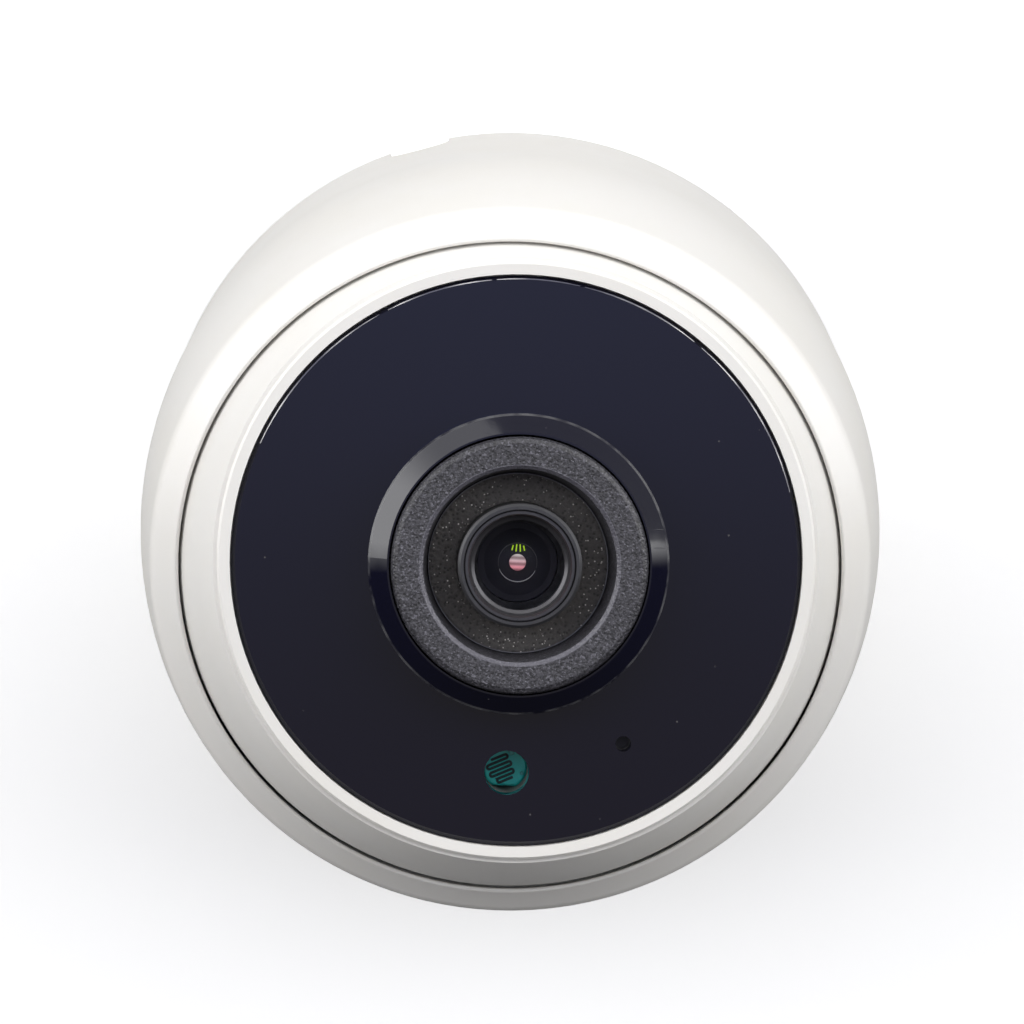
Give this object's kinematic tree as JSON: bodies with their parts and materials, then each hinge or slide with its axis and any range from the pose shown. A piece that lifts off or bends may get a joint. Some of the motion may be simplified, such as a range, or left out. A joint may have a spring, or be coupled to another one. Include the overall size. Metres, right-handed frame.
{
  "type": "security camera",
  "caption": "Indoor eyeball dome security camera: bell-shaped white cover on a round base, and a white ball that pans, tilts and rolls, with a dark round front panel and a central lens.",
  "frame": {"origin": "centre of the flat mounting face", "axes": "+Z along the dome's axis, out of the mounting face towards the ball; the ball is tilted towards -Y at rest; +X is the tilt axis"},
  "size_m": [0.094, 0.094, 0.074],
  "materials": {
    "white_shell": "satin",
    "base_plastic": "satin",
    "silicone": "matt",
    "dark_panel": "polished, infrared pass",
    "grained_black": "fine spark-eroded grain",
    "foam": "open-cell foam",
    "tape": "adhesive foam tape",
    "black_anodised": "black anodised",
    "coated_glass": "anti-reflection coated",
    "clear_window": "polished",
    "cut_glass": "infrared-cut coated",
    "black_plastic": "satin",
    "screw_steel": "zinc plated",
    "board_green": "solder resist",
    "lamp_base": "white package",
    "lamp_dome": "moulded silicone dome",
    "ceramic_cell": "photoresistor face",
    "chip_black": "moulded epoxy",
    "sensor_dark": "sensor package",
    "heat_sink_alloy": "extruded",
    "pad_grey": "gap pad",
    "coil_copper": "enamelled copper wire",
    "magnet_plate": "nickel plated",
    "brass_post": "turned",
    "capsule_can": "drawn can",
    "socket_cream": "nylon",
    "spring_steel": "spring clip"
  },
  "bodies": {
    "base": {"mounting_base": "base_plastic", "outer_cover": "white_shell", "friction_ring": "silicone"},
    "seat": {"seat_ring": "base_plastic"},
    "swivel": {"cable_swivel": "black_plastic", "swivel_clip": "spring_steel"},
    "ball": {"ball_front": "white_shell", "ball_back": "white_shell", "shell_screws": "screw_steel", "panel_tape": "tape", "front_panel": "dark_panel", "lens_hood": "grained_black", "foam_ring": "foam", "lens_barrel": "black_anodised", "lens_retainer": "black_anodised", "front_glass": "coated_glass", "inner_glass": "coated_glass", "rear_glass": "coated_glass", "filter_tray": "black_plastic", "lens_holder": "black_plastic", "holder_screws": "screw_steel", "filter_coil": "coil_copper", "image_sensor": "sensor_dark", "sensor_glass": "clear_window", "main_board": "board_green", "standoffs": "brass_post", "board_screws": "screw_steel", "lamp_board": "board_green", "lamp_board_screws": "screw_steel", "lamp_bases": "lamp_base", "lamp_domes": "lamp_dome", "light_cell": "ceramic_cell", "light_sleeve": "silicone", "light_window": "clear_window", "mic_capsule": "capsule_can", "mic_boot": "silicone", "processor": "chip_black", "thermal_pad": "pad_grey", "heat_sink": "heat_sink_alloy", "board_socket": "socket_cream"},
    "filter": {"filter_carriage": "black_plastic", "day_pane": "cut_glass", "night_pane": "clear_window", "carriage_magnet": "magnet_plate"}
  },
  "joints": [
    {"name": "pan", "type": "hinge", "parent": "base", "child": "seat", "pos_m": [0, 0, 0.0432], "axis": [0, 0, 1], "range_deg": [-180, 180]},
    {"name": "tilt", "type": "hinge", "parent": "seat", "child": "swivel", "pos_m": [0, 0, 0.0432], "axis": [1, 0, 0], "range_deg": [-9.5, 55.5]},
    {"name": "roll", "type": "hinge", "parent": "swivel", "child": "ball", "pos_m": [0, 0, 0.0432], "axis": [0, -0.165, 0.9863], "range_deg": [-180, 180]},
    {"name": "filter_slide", "type": "slide", "parent": "ball", "child": "filter", "axis": [-0.981, -0.1916, -0.0321], "range_m": [0, 0.008]}
  ]
}
